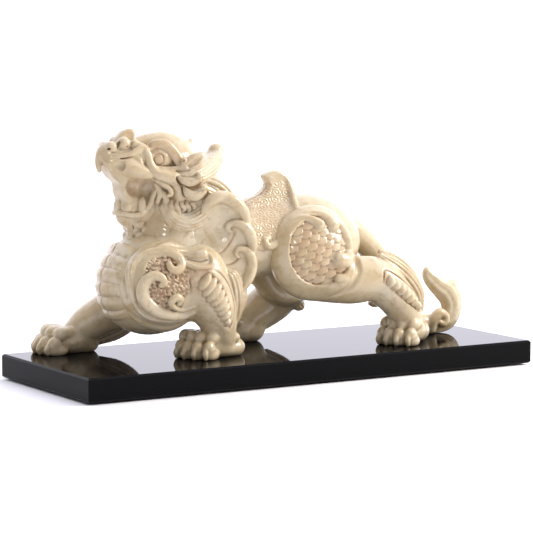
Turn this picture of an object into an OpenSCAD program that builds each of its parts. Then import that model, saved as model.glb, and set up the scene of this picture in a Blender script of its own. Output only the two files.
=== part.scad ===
// Winged guardian lion (foo dog) standing on a polished plinth slab.
// The figure is cast stone in bonded sections, pinned together with steel dowels
// and screwed down through the slab into threaded inserts in its paws.
// Millimetres, +Z up. The beast faces -X, and its left side is towards -Y.
// The origin is the centre of the underside, where the felt feet rest.

/* [Plinth] */
// Length of the slab along X
slab_l = 430; // [416:1:520]
// Width of the slab along Y
slab_w = 160; // [160:1:220]
// Thickness of the slab
slab_t = 20; // [18:1:30]
// Chamfer along the slab's edges
slab_chamfer = 1.5; // [0.5:0.1:3]

/* [Felt feet] */
// Diameter of a felt foot
foot_d = 24; // [16:1:30]
// Thickness of a felt foot
foot_t = 1.5; // [1:0.1:3]
// Distance from the slab's edges to a foot's centre
foot_inset = 24; // [20:1:30]

/* [Figure] */
// Height of the figure above the slab
figure_h = 190; // [180:1:192]
// Half width of the torso casting, between the limb castings
flank_y = 26; // [24:0.5:27]

/* [Fixings] */
// Nominal diameter of the fixing screws
screw_d = 6; // [5:1:6]
// Diameter of the counterbores under the slab
counterbore_d = 15; // [14:0.5:18]
// Depth of the counterbores under the slab
counterbore_h = 8; // [7:0.5:9]
// Diameter of the steel dowels between castings
dowel_d = 6; // [4:0.5:6]
// Length of the steel dowels
dowel_l = 24; // [18:1:26]

/* [Hidden] */
PAWS = ["left_fore", "right_fore", "left_hind", "right_hind"];
DOWELS = ["neck", "tail", "left_fore", "right_fore", "left_hind", "right_hind"];

// The figure is drawn 190 mm tall from the slab's top face, then scaled to figure_h.
drawn_h = 190;
fig = figure_h / drawn_h;
top_z = foot_t + slab_t;
cut = 400;     // size of the blocks that trim castings
sliver = 0.01; // overrun of a cutting tool past a face

// Joint faces between the castings, in drawn figure millimetres.
flank = flank_y / fig;
belly_z = 28;
neck_z = 100;
neck_x = -62;
jaw_x = -112;
jaw_top = 146;
crest_x = [-30, 22];
crest_z = 118;
tail_x = 80;
shoulder_at = [-110, 0, 100];
shoulder_tilt = atan2(60, 45);

// Masses of the body: [centre, radius].
CHEST = [[-120, 0, 60], 41];
RIBS = [[-98, 0, 70], 38];
LOINS = [[-45, 0, 87], 32];
WAIST = [[-5, 0, 90], 30];
HAUNCH = [[30, 0, 92], 38];
RUMP = [[60, 0, 84], 32];

// Centre of the sole and heading of the toes, for each paw.
SOLE = [[-75, -24], [-165, 61], [112, -39], [-8, 44]];
HEADING = [208, 178, 208, 176];
paw_l = 60;
paw_w = 38;
paw_h = 25;

// Hardware proportions.
fit = 0.05; // radial clearance of dowels and inserts in their sockets
insert_d = screw_d + 3;
insert_l = 14;
washer_d = 2 * screw_d + 0.5;
washer_t = 1.6;
head_d = 1.75 * screw_d;
head_h = 0.6 * screw_d;
socket_af = 0.65 * screw_d;
clear_d = screw_d + 0.6;
screw_l = slab_t - counterbore_h + washer_t + insert_l - 2;

stone = [0.90, 0.85, 0.74];
granite = [0.06, 0.06, 0.07];
steel = [0.72, 0.73, 0.75];
brass = [0.80, 0.66, 0.35];
felt = [0.12, 0.12, 0.13];

// ---------------------------------------------------------------- helpers

module ball(mass, fn = 24) {
    translate(mass[0]) sphere(mass[1], $fn = fn);
}

// One rounded limb segment between two masses.
module link(a, b, fn = 24) {
    hull() {
        ball(a, fn);
        ball(b, fn);
    }
}

// A chain of rounded segments through a list of masses.
module chain(masses, fn = 24) {
    for (i = [0 : len(masses) - 2]) link(masses[i], masses[i + 1], fn);
}

// Places children drawn from the slab's top face into the part's frame.
module on_slab() {
    translate([0, 0, top_z]) scale(fig) children();
}

// Keeps the children on one side of the body's centre: side is -1 for left, 1 for right.
// What lies inside the flank face, above the belly, belongs to the torso.
module outside_flank(side) {
    difference() {
        children();
        translate([-cut / 2, side > 0 ? -cut + flank : -flank, belly_z]) cube([cut, cut, cut]);
        translate([-cut / 2, -cut / 2, -cut]) cube([cut, cut, cut]);
    }
}

// The half space above the shoulder joint face, which leans back from the chest.
module above_shoulder() {
    translate(shoulder_at) rotate([0, shoulder_tilt - 90, 0]) rotate([0, 90, 0])
        translate([-cut / 2, -cut / 2, 0]) cube([cut, cut, cut]);
}

// A paw: four toe masses in an arc before a broad heel.
module paw(i) {
    toe_r = paw_w * 0.27;
    translate([SOLE[i][0], SOLE[i][1], 0]) rotate(HEADING[i]) hull() {
        for (toe = [-1 : 2 / 3 : 1])
            ball([[paw_l / 2 - toe_r - 2 * abs(toe), toe * (paw_w / 2 - toe_r), toe_r * 0.75], toe_r]);
        ball([[0, 0, paw_h - 14], 14]);
        ball([[11 - paw_l / 2, 0, 9], 12]);
    }
}

// The pocket for a threaded insert in the sole of a paw.
module insert_pocket(i) {
    translate([SOLE[i][0], SOLE[i][1], -sliver])
        cylinder(h = (insert_l + 1) / fig, d = (insert_d + 2 * fit) / fig, $fn = 48);
}

// Where a dowel sits: [centre on the joint face, rotation from Z].
function dowel_place(joint) =
    joint == "neck" ? [[-94, 0, neck_z], [0, 0, 0]] :
    joint == "tail" ? [[tail_x, 0, 92], [0, 90, 0]] :
    joint == "left_fore" ? [[-112, -flank, 62], [90, 0, 0]] :
    joint == "right_fore" ? [[-112, flank, 62], [90, 0, 0]] :
    joint == "left_hind" ? [[24, -flank, 84], [90, 0, 0]] :
    [[24, flank, 84], [90, 0, 0]];

// The hole that a dowel fills, shared by the two castings that it joins.
module dowel_hole(joint) {
    place = dowel_place(joint);
    translate(place[0]) rotate(place[1])
        cylinder(h = (dowel_l + 1) / fig, d = (dowel_d + 2 * fit) / fig, center = true, $fn = 48);
}

// ---------------------------------------------------------------- castings

module torso() {
    color(stone) on_slab() difference() {
        intersection() {
            chain([CHEST, RIBS, LOINS, WAIST, HAUNCH, RUMP]);
            translate([-cut / 2, -flank, 0]) cube([cut, 2 * flank, cut]);
        }
        translate([neck_x - cut, -cut / 2, neck_z]) cube([cut, cut, cut]);
        translate([crest_x[0], -cut / 2, crest_z]) cube([crest_x[1] - crest_x[0], cut, cut]);
        translate([tail_x, -cut / 2, 0]) cube([cut, cut, cut]);
        for (joint = DOWELS) dowel_hole(joint);
    }
}

module head() {
    skull = [[-98, 0, 160], 24];
    brow = [[-112, 0, 168], 17];
    muzzle = [[-138, 0, 167], 14];
    nose = [[-153, 0, 164], 9];
    tuft = [[-131, 0, 184], 5];
    nape = [[-86, 0, 132], 28];
    mane = [[-68, 0, 142], 21];
    horn = [[-50, 0, 166], 8];
    throat = [[-92, 0, 108], 28];
    color(stone) on_slab() difference() {
        intersection() {
            union() {
                hull() {
                    ball(skull);
                    ball(brow);
                    ball(muzzle);
                    ball(nose);
                }
                link(brow, tuft);
                hull() {
                    ball(skull);
                    ball(nape);
                    ball(mane);
                }
                link(mane, horn);
                link(nape, throat);
            }
            translate([-cut / 2, -flank, neck_z]) cube([cut, 2 * flank, cut]);
        }
        translate([jaw_x - cut, -cut / 2, jaw_top - cut]) cube([cut, cut, cut]);
        translate([neck_x, -cut / 2, crest_z - cut]) cube([cut, cut, cut]);
        dowel_hole("neck");
    }
}

module lower_jaw() {
    chin = [[-140, 0, 122], 9];
    hinge = [[-112, 0, 132], 13];
    beard = [[-132, 0, 104], 9];
    color(stone) on_slab() difference() {
        union() {
            link(chin, hinge);
            hull() {
                ball(chin);
                ball(beard);
                ball(hinge);
            }
        }
        translate([jaw_x, -cut / 2, 0]) cube([cut, cut, cut]);
        translate([-cut / 2, -cut / 2, neck_z - cut]) cube([cut, cut, cut]);
    }
}

// A scroll-edged wing folded against the shoulder: side is -1 for left, 1 for right.
module wing(side) {
    lift = side * 36;
    color(stone) on_slab() intersection() {
        outside_flank(side) {
            hull() {
                ball([[-104, lift, 94], 8]);
                ball([[-72, lift, 126], 11]);
                ball([[-54, lift, 110], 11]);
                ball([[-74, lift, 82], 10]);
            }
            hull() {
                ball([[-54, lift, 110], 11]);
                ball([[-48, lift, 90], 10]);
                ball([[-56, lift, 62], 8]);
                ball([[-74, lift, 82], 10]);
            }
        }
        above_shoulder();
    }
}

module left_wing() {
    wing(-1);
}

module right_wing() {
    wing(1);
}

module dorsal_crest() {
    color(stone) on_slab() difference() {
        union() {
            hull() {
                ball([[-20, 0, 114], 9]);
                ball([[10, 0, 114], 11]);
                ball([[6, 0, 134], 8]);
            }
            hull() {
                ball([[6, 0, 134], 8]);
                ball([[5, 0, 142], 6]);
                ball([[-3, 0, 146], 3]);
            }
        }
        translate([-cut / 2, -cut / 2, crest_z - cut]) cube([cut, cut, cut]);
    }
}

// A foreleg with its part of the shoulder: i is the paw's place in PAWS.
module foreleg(side, i, elbow, wrist) {
    shoulder = [[-116, side * 8, 62], 40];
    color(stone) on_slab() difference() {
        outside_flank(side) {
            link(shoulder, elbow);
            link(elbow, wrist);
            paw(i);
        }
        above_shoulder();
        insert_pocket(i);
        dowel_hole(str(PAWS[i]));
    }
}

module left_foreleg() {
    foreleg(-1, 0, elbow = [[-78, -30, 46], 22], wrist = [[-68, -28, 24], 19]);
}

module right_foreleg() {
    foreleg(1, 1, elbow = [[-130, 38, 36], 17], wrist = [[-152, 56, 22], 14]);
}

// A hind leg with its part of the haunch.
module hind_leg(side, i, knee, hock) {
    thigh = [[21, side * 8, 82], 40];
    color(stone) on_slab() difference() {
        outside_flank(side) {
            link(thigh, knee);
            link(knee, hock);
            paw(i);
        }
        insert_pocket(i);
        dowel_hole(str(PAWS[i]));
    }
}

module left_hind_leg() {
    hind_leg(-1, 2, knee = [[78, -40, 57], 20], hock = [[110, -43, 26], 16]);
}

module right_hind_leg() {
    hind_leg(1, 3, knee = [[38, 42, 44], 18], hock = [[6, 44, 20], 15]);
}

module tail() {
    color(stone) on_slab() difference() {
        chain([
            [[72, 0, 92], 22], [[104, 0, 84], 12], [[128, 0, 58], 10], [[142, 0, 28], 9],
            [[158, 0, 10], 10], [[184, 0, 18], 12], [[186, 0, 38], 9], [[164, 0, 54], 4]
        ], fn = 18);
        translate([tail_x - cut, -cut / 2, 0]) cube([cut, cut, cut]);
        translate([-cut / 2, -cut / 2, -cut]) cube([cut, cut, cut]);
        dowel_hole("tail");
    }
}

// ---------------------------------------------------------------- plinth

// A flat bar of the slab's section, chamfered along the edges that run with it.
module chamfered_bar(length, width) {
    c = slab_chamfer;
    rotate([90, 0, 90]) translate([0, 0, -length / 2]) linear_extrude(length) polygon([
        [-width / 2 + c, 0], [width / 2 - c, 0], [width / 2, c], [width / 2, slab_t - c],
        [width / 2 - c, slab_t], [-width / 2 + c, slab_t], [-width / 2, slab_t - c], [-width / 2, c]
    ]);
}

module at_paw(i, z) {
    translate([SOLE[i][0] * fig, SOLE[i][1] * fig, z]) children();
}

module base_slab() {
    color(granite) difference() {
        translate([0, 0, foot_t]) intersection() {
            chamfered_bar(slab_l, slab_w);
            rotate(90) chamfered_bar(slab_w, slab_l);
        }
        for (i = [0 : len(PAWS) - 1]) at_paw(i, foot_t) {
            translate([0, 0, -sliver]) cylinder(h = slab_t + 2 * sliver, d = clear_d, $fn = 48);
            translate([0, 0, -sliver]) cylinder(h = counterbore_h + sliver, d = counterbore_d, $fn = 48);
        }
    }
}

// ---------------------------------------------------------------- hardware

module felt_foot(i) {
    side = [[-1, -1], [-1, 1], [1, -1], [1, 1]][i];
    color(felt) translate([side[0] * (slab_l / 2 - foot_inset), side[1] * (slab_w / 2 - foot_inset), 0])
        cylinder(h = foot_t, d = foot_d, $fn = 64);
}

// A socket-head screw, head down in the counterbore; its thread is drawn as a plain shank.
module fixing_screw(i) {
    seat = foot_t + counterbore_h - washer_t;
    color(steel) at_paw(i, seat) difference() {
        union() {
            translate([0, 0, -head_h]) cylinder(h = head_h, d = head_d, $fn = 48);
            cylinder(h = screw_l, d = screw_d, $fn = 48);
        }
        translate([0, 0, -head_h - sliver])
            cylinder(h = head_h * 0.55, d = socket_af / cos(30), $fn = 6);
    }
}

module washer(i) {
    color(steel) at_paw(i, foot_t + counterbore_h - washer_t) difference() {
        cylinder(h = washer_t, d = washer_d, $fn = 48);
        translate([0, 0, -sliver]) cylinder(h = washer_t + 2 * sliver, d = screw_d + 0.4, $fn = 48);
    }
}

// A brass sleeve with two anchoring grooves, bonded into the sole of a paw.
module threaded_insert(i) {
    groove = 1.2;
    color(brass) at_paw(i, top_z) difference() {
        cylinder(h = insert_l, d = insert_d, $fn = 48);
        translate([0, 0, -sliver]) cylinder(h = insert_l + 2 * sliver, d = screw_d + 2 * fit, $fn = 48);
        for (z = [insert_l * 0.3, insert_l * 0.65]) translate([0, 0, z]) difference() {
            cylinder(h = groove, d = insert_d + 1, $fn = 48);
            cylinder(h = groove, d = insert_d - 0.8, $fn = 48);
        }
    }
}

module dowel(joint) {
    place = dowel_place(joint);
    color(steel) translate([0, 0, top_z]) translate(place[0] * fig) rotate(place[1])
        cylinder(h = dowel_l, d = dowel_d, center = true, $fn = 48);
}

base_slab();
torso();
head();
lower_jaw();
left_wing();
right_wing();
dorsal_crest();
left_foreleg();
right_foreleg();
left_hind_leg();
right_hind_leg();
tail();
for (i = [0 : len(PAWS) - 1]) {
    felt_foot(i);
    fixing_screw(i);
    washer(i);
    threaded_insert(i);
}
for (joint = DOWELS) {
    dowel(joint);
}
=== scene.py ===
"""A foo dog: a winged guardian lion in ivory-coloured stone, striding on a polished black slab.

Each stone casting is carved here as a block of voxels that holds a signed distance, in the way a
sculptor adds and cuts clay, and is then turned into a mesh. Sculpting coordinates are millimetres
from the middle of the slab's top face: +X towards the tail, -Y the beast's left, +Z up. The slab,
the felt feet and the hardware are the CAD parts themselves, with finer materials.
"""

import math

import bpy
import numpy as np
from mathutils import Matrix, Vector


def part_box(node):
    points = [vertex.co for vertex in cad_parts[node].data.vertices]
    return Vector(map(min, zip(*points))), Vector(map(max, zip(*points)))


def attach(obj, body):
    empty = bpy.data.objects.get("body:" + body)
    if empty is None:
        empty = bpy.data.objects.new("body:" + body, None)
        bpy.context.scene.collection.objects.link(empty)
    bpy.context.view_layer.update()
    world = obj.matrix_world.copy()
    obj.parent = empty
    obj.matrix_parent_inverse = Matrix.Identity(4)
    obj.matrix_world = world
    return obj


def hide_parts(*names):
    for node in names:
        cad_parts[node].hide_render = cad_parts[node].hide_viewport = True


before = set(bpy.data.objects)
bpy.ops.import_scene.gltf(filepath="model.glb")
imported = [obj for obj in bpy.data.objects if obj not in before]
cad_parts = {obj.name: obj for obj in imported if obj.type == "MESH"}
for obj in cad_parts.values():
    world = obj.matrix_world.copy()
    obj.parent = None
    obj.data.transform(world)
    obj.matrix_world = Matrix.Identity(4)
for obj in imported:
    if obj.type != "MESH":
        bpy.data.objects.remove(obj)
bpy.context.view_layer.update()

import openvdb
from mathutils import Euler, Vector

# ---------- places and sizes

slab_low, slab_high = (Vector(corner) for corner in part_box("base_slab"))
ground = Vector(((slab_low.x + slab_high.x) / 2, (slab_low.y + slab_high.y) / 2, slab_high.z))
MM = 0.001
TORSO_VOXEL = 0.9   # voxel edges of the castings, mm
TAIL_VOXEL = 0.75
LIMB_VOXEL = 0.58
HEAD_VOXEL = 0.55
FINEST_VOXEL = 0.5
FAR = 5.0     # field value away from any stone, mm
WASH_AND_SHADE_REACH = 1.9   # how far around a spot the umber of the hollows looks for a hollow, mm: partly brown wash, partly painted shade
TILE = 64   # cells each way before the scattered centres repeat
rng = np.random.default_rng(7)
JITTER = rng.random((TILE, TILE, 2))


# ---------- clay

def spline(points, per_span):
    """A smooth curve through the rows of points, as rows."""
    p = np.asarray(points, float)
    p = np.vstack([2 * p[0] - p[1], p, 2 * p[-1] - p[-2]])
    t = np.linspace(0, 1, per_span, endpoint=False)[:, None]
    spans = []
    for a, b, c, d in zip(p, p[1:], p[2:], p[3:]):
        spans.append(0.5 * (2 * b + (c - a) * t + (2 * a - 5 * b + 4 * c - d) * t**2
                            + (3 * b - a - 3 * c + d) * t**3))
    spans.append(p[-2:-1])
    return np.vstack(spans)


def ease(low, high, value):
    """0 below low, 1 above high, and a smooth step between."""
    t = np.clip((value - low) / (high - low), 0, 1)
    return t * t * (3 - 2 * t)


def soften(values, reach):
    """The mean of each voxel's neighbours, reach voxels each way."""
    for axis in range(3):
        pad = [(0, 0)] * 3
        pad[axis] = (reach + 1, reach)
        total = np.cumsum(np.pad(values, pad, mode="edge"), axis=axis, dtype=np.float64)
        width = 2 * reach + 1
        upper = np.take(total, range(width, total.shape[axis]), axis=axis)
        lower = np.take(total, range(0, total.shape[axis] - width), axis=axis)
        values = ((upper - lower) / width).astype(np.float32)
    return values


def sampled(values, spots):
    """Values read between voxels, at spots given in voxel units."""
    base = np.clip(np.floor(spots).astype(int), 0, np.array(values.shape) - 2)
    f = np.clip(spots - base, 0, 1)
    out = 0
    for i in (0, 1):
        for j in (0, 1):
            for k in (0, 1):
                share = (abs(1 - i - f[:, 0]) * abs(1 - j - f[:, 1]) * abs(1 - k - f[:, 2]))
                out = out + share * values[base[:, 0] + i, base[:, 1] + j, base[:, 2] + k]
    return out


def outline_distance(u, v, outline):
    """Signed distance to a smooth closed curve through the rows of outline, negative inside."""
    ring = spline(np.vstack([outline, outline[:1]]), 6)
    u, v = np.broadcast_arrays(u, v)
    nearest = np.full(u.shape, 1e9)
    inside = np.zeros(u.shape, bool)
    for (au, av), (bu, bv) in zip(ring[:-1], ring[1:]):
        du, dv = bu - au, bv - av
        t = np.clip(((u - au) * du + (v - av) * dv) / max(du * du + dv * dv, 1e-9), 0, 1)
        nearest = np.minimum(nearest, (u - au - t * du) ** 2 + (v - av - t * dv) ** 2)
        if abs(dv) > 1e-9:
            inside ^= ((av > v) != (bv > v)) & (u < au + du * (v - av) / dv)
    return np.sqrt(nearest) * np.where(inside, -1, 1)


class Clay:
    """A block of voxels with the signed distance to a carved surface: negative is stone.

    A folded block holds only the left half, y up to 0, and is mirrored when it is cast.
    """

    def __init__(self, low, high, step, folded=False):
        self.step = step * 1
        self.folded = folded
        self.axes = []
        for a, b in zip(low, high):
            self.axes.append(np.arange(math.floor(a / self.step), math.ceil(b / self.step) + 1)
                             .astype(np.float32) * np.float32(self.step))
        if folded:
            self.axes[1] = self.axes[1][self.axes[1] <= 1e-4]
        shape = [len(axis) for axis in self.axes]
        self.field = np.full(shape, FAR, np.float32)
        self.stain = np.zeros(shape, np.float32)

    def window(self, low, high, pad):
        """The slices of the voxels between two corners, and their coordinates."""
        cut = []
        for axis, a, b in zip(self.axes, low, high):
            i, j = np.searchsorted(axis, (a - pad, b + pad))
            cut.append(slice(int(i), int(j)))
        x, y, z = (axis[part] for axis, part in zip(self.axes, cut))
        return tuple(cut), x[:, None, None], y[None, :, None], z[None, None, :]

    def merge(self, cut, distance, blend, carve, stain):
        """Joins a shape to the stone, or cuts it away, with a soft edge blend mm wide."""
        old = self.field[cut]
        if old.size == 0:
            return
        blend = max(blend, 1e-3)
        other = -distance if carve else distance
        near = np.maximum(blend - np.abs(old - other), 0) / blend
        if carve:
            new = np.maximum(old, other) + near * near * blend * 0.25
        else:
            new = np.minimum(old, other) - near * near * blend * 0.25
        if stain is not None:
            share = ease(-0.8, 0.8, (other - old) if carve else (old - other))
            self.stain[cut] += (stain - self.stain[cut]) * share
        self.field[cut] = new

    def blob(self, centre, radii, turn=(0, 0, 0), blend=2.0, carve=False, stain=None):
        """An ellipsoid. turn is in degrees about X, Y and Z."""
        radii = np.broadcast_to(np.asarray(radii, float), 3)
        reach = np.full(3, radii.max()) if any(turn) else radii
        centre = np.asarray(centre, float)
        cut, x, y, z = self.window(centre - reach, centre + reach, max(blend, 3.0))
        local = [x - centre[0], y - centre[1], z - centre[2]]
        if any(turn):
            m = Euler([math.radians(a) for a in turn]).to_matrix()
            local = [m[0][i] * local[0] + m[1][i] * local[1] + m[2][i] * local[2] for i in range(3)]
        k0 = np.sqrt(sum((q / r) ** 2 for q, r in zip(local, radii)))
        k1 = np.sqrt(sum((q / r**2) ** 2 for q, r in zip(local, radii)))
        self.merge(cut, k0 * (k0 - 1) / np.maximum(k1, 1e-4), blend, carve, stain)

    def sweep(self, points, radii, blend=1.5, carve=False, stain=None, flat=1.0, ribs=0,
              rib_depth=0.16, per_span=5):
        """A round bar along a curve, thinned to flat times its radius along Y, with ribs."""
        radii = np.broadcast_to(np.asarray(radii, float), len(points))
        path = spline(np.column_stack([np.asarray(points, float), radii]), per_span)
        path[:, 3] = np.maximum(path[:, 3], 0.2)
        pad = max(blend, 3.0)
        fat = path[:, 3].max() + pad
        whole, x, y, z = self.window(path[:, :3].min(0), path[:, :3].max(0), fat)
        shape = (x.size, y.size, z.size)
        if 0 in shape:
            return
        distance = np.full(shape, FAR, np.float32)
        offset = [part.start for part in whole]
        for a, b in zip(path[:-1], path[1:]):
            along = b[:3] - a[:3]
            length = np.linalg.norm(along)
            if length < 1e-6:
                continue
            reach = max(a[3], b[3]) + pad
            cut, x, y, z = self.window(np.minimum(a, b)[:3], np.maximum(a, b)[:3], reach)
            inner = tuple(slice(p.start - o, p.stop - o) for p, o in zip(cut, offset))
            v = [x - a[0], y - a[1], z - a[2]]
            t = np.clip((v[0] * along[0] + v[1] * along[1] + v[2] * along[2]) / length**2, 0, 1)
            v = [q - t * c for q, c in zip(v, along)]
            r = a[3] + t * (b[3] - a[3])
            span = v[1]
            square = v[0] ** 2 + v[1] ** 2 + v[2] ** 2
            if ribs:
                up = np.cross(along / length, (0, 1, 0))
                angle = np.arctan2(span / flat, v[0] * up[0] + v[1] * up[1] + v[2] * up[2])
                r = r * (1 - rib_depth * (0.5 - 0.5 * np.cos(ribs * angle)) ** 2)
            if flat == 1.0:
                d = np.sqrt(square) - r
            else:
                wide = np.maximum(square - span**2, 0)
                k0 = np.sqrt(wide / r**2 + (span / (r * flat)) ** 2)
                k1 = np.sqrt(wide / r**4 + (span / (r * flat) ** 2) ** 2)
                d = k0 * (k0 - 1) / np.maximum(k1, 1e-4)
            distance[inner] = np.minimum(distance[inner], d)
        self.merge(whole, distance, blend, carve, stain)

    def plate(self, outline, half, rounding, blend=1.5, middle=None):
        """A smooth outline in the XZ plane, half thick each way about y = middle(x, z) or 0."""
        low, high = np.min(outline, axis=0), np.max(outline, axis=0)
        cut, x, y, z = self.window((low[0], -99, low[1]), (high[0], 99, high[1]), max(blend, 3.0) + 4)
        edge = (outline_distance(x[:, 0], z[0], outline) + rounding)[:, None, :]
        depth = np.abs(y - (middle(x, z) if middle else 0))
        depth = depth - (half(x, z) if callable(half) else half) + rounding
        d = np.sqrt(np.maximum(edge, 0) ** 2 + np.maximum(depth, 0) ** 2)
        d = d + np.minimum(np.maximum(edge, depth), 0) - rounding
        self.merge(cut, d.astype(np.float32), blend, False, None)

    def keep(self, outline, blend=2.0):
        """Cuts away what lies outside an outline in the XZ plane."""
        edge = outline_distance(self.axes[0][:, None], self.axes[2][None, :], outline)[:, None, :]
        near = np.maximum(blend - np.abs(self.field - edge), 0) / blend
        self.field = (np.maximum(self.field, edge) + near * near * blend * 0.25).astype(np.float32)

    def trim(self, axis, at, sign, blend=1.0):
        """Cuts away everything on one side of a plane: sign 1 keeps what lies below at."""
        shape = [1, 1, 1]
        shape[axis] = -1
        plane = (self.axes[axis].reshape(shape) - at) * sign
        near = np.maximum(blend - np.abs(self.field - plane), 0) / blend
        self.field = np.maximum(self.field, plane) + near * near * blend * 0.25

    def engrave(self, low, high, pattern):
        """Raises the surface between two corners by pattern(x, y, z) = (height in mm, stain)."""
        cut, x, y, z = self.window(low, high, 0)
        height, stain = pattern(x, y, z)
        self.field[cut] -= height
        self.stain[cut] = np.maximum(self.stain[cut], stain)

    def smooth(self, reach):
        """Rounds every edge by about reach voxels."""
        self.field = soften(self.field, reach)

    def settle(self):
        """Keeps the form as it is now, for skin() to lay ornament on."""
        self.form = self.field.copy()

    def skin(self, places, lift=0.0):
        """Points on the outer, -Y face of the settled form at (x, z) places, lifted outwards."""
        points = []
        for x, z in places:
            i = int(np.clip(np.searchsorted(self.axes[0], x), 0, len(self.axes[0]) - 1))
            k = int(np.clip(np.searchsorted(self.axes[2], z), 0, len(self.axes[2]) - 1))
            column = self.form[i, :, k]
            j = int(np.argmax(column < 0)) if (column < 0).any() else int(np.argmin(column))
            points.append((x, float(self.axes[1][j]) - lift, z))
        return points

    def relief(self, places, radii, lift=0.5, **how):
        """A bar laid on the outer face along (x, z) places."""
        self.sweep(self.skin(places, lift), radii, **how)

    def groove(self, points, radii, blend=0.8, stain=None, **how):
        """A cut along a curve."""
        self.sweep(points, radii, blend=blend, carve=True, stain=stain, **how)

    def score(self, places, radii, lift=0.0, blend=0.8, stain=None, **how):
        """A cut on the outer face along (x, z) places."""
        self.relief(places, radii, lift=lift, blend=blend, carve=True, stain=stain, **how)

    def cast(self, node):
        """Turns the block into a smooth mesh piece that stands for a CAD node.

        Blocks are carved as the beast's left side. A right-hand node's is mirrored here.
        """
        name = node + "_stone"
        field, stain, start = self.field, self.stain, [axis[0] for axis in self.axes]
        if self.folded:
            field = np.concatenate([field, field[:, -2::-1]], axis=1)
            stain = np.concatenate([stain, stain[:, -2::-1]], axis=1)
        for axis in range(3):
            for end in (0, -1):
                edge = [slice(None)] * 3
                edge[axis] = end
                field[tuple(edge)] = FAR
        reach = max(1, round(WASH_AND_SHADE_REACH / self.step))
        # How hollow each spot is sets the umber there: partly the stone's brown wash, partly painted shade.
        hollow = -soften(np.clip(field, -2.5, 2.5), reach)
        grid = openvdb.FloatGrid(FAR)
        grid.copyFromArray(field)
        points, quads = grid.convertToQuads(0.0)
        wash_and_shade = ease(0.10, 0.75, sampled(hollow, points))
        tint = np.clip(sampled(soften(stain, 1), points), 0, 1)
        points = points * self.step + np.array(start)
        if node.startswith("right"):
            points[:, 1] *= -1
            quads = quads[:, ::-1]
        mesh = bpy.data.meshes.new(name)
        mesh.from_pydata(points * MM + np.array(ground), [], quads)
        mesh.polygons.foreach_set("use_smooth", np.ones(len(quads), bool))
        for label, values in (("wash_and_shade", wash_and_shade), ("tint", tint)):
            layer = mesh.attributes.new(label, "FLOAT", "POINT")
            layer.data.foreach_set("value", values.astype(np.float32))
        mesh.update()
        piece = bpy.data.objects.new(name, mesh)
        bpy.context.collection.objects.link(piece)
        piece.data.materials.append(node_material("ivory_stone", build_stone))
        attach(piece, "root")
        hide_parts(node)


# ---------- carved patterns

def cells(u, v, size):
    """The distance in mm to the nearest of many scattered centres, about size mm apart."""
    best = np.full(np.broadcast(u, v).shape, 1e9)
    row = np.floor(v / size)
    for dj in (-1, 0, 1):
        j = row + dj
        stagger = 0.5 * (j % 2)
        column = np.floor(u / size - stagger)
        for di in (-1, 0, 1):
            i = column + di
            shift = 0.8 * JITTER[i.astype(int) % TILE, j.astype(int) % TILE]
            du = u - (i + stagger + shift[..., 0]) * size
            dv = v - (j + shift[..., 1]) * size
            best = np.minimum(best, du**2 + dv**2)
    return np.sqrt(best)


def pebbles(u, v, size):
    """Separate round grains 0 to 1 high, about size mm apart."""
    return np.sqrt(np.maximum(1 - (cells(u, v, size) / (0.46 * size)) ** 2, 0))


def fleece(u, v, size):
    """Tight curls of fine hair, -1 to 1 high: rings round scattered centres."""
    return np.sin(cells(u, v, size) * 2.6) * np.exp(-cells(u, v, size) * 0.05)


def scales(u, v, width):
    """Overlapping fish scales 0 to 1 high, highest at their free edges, which face -v."""
    pitch, radius = width * 0.52, width * 0.56
    row = np.floor(v / pitch)
    height = np.zeros(np.broadcast(u, v).shape)
    for above in (0, 1):
        r = row + above
        centre = (np.floor(u / width - 0.5 * (r % 2)) + 0.5 + 0.5 * (r % 2)) * width
        du, dv = u - centre, v - r * pitch
        inside = np.hypot(du, dv) < radius
        height = np.where(inside, 0.5 - 0.85 * dv / width - 0.25 * (du / radius) ** 2, height)
    return height


# ---------- body

def carve_torso():
    """The body: chest, waist and rump, with broad plates round the front of the chest."""
    clay = Clay((-172, -46, 12), (100, 0, 138), TORSO_VOXEL, folded=True)
    clay.blob((-118, 0, 61), (44, 40, 42))
    clay.blob((-94, 0, 74), (40, 34, 36), blend=10)
    clay.sweep(
        [(-104, 0, 70), (-66, 0, 84), (-24, 0, 90), (8, 0, 93), (32, 0, 93), (50, 0, 89), (62, 0, 88)],
        [34, 32, 29, 31, 37, 32, 22], blend=8)
    clay.blob((-106, 0, 92), (33, 28, 15), blend=8)
    clay.blob((-97, -15, 103), (17, 12, 13), blend=8)
    clay.smooth(1)

    def chest_plates(x, y, z):
        chest_x, chest_z, half_width = -118, 61, 21.5
        first_angle, pitch = 5.7, 16.4
        angle = np.degrees(np.arctan2(z - chest_z, chest_x - x))
        place = (angle - first_angle) / pitch
        t = place - np.floor(place)
        side = np.clip(1 - (np.abs(y) / half_width) ** 4, 0, 1)
        pillow = np.sin(np.pi * np.clip(1 - t, 0, 1) ** 0.8) ** 0.6
        on = ease(-42, -36, angle) * (1 - ease(52, 58, angle)) * (x < -100)
        return (2.5 * pillow * np.sqrt(side) - 0.5) * on, 0.10 * on * (t > 0.9)

    clay.engrave((-172, -24, 12), (-96, 0, 106), chest_plates)
    clay.cast("torso")


# ---------- paws

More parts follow.
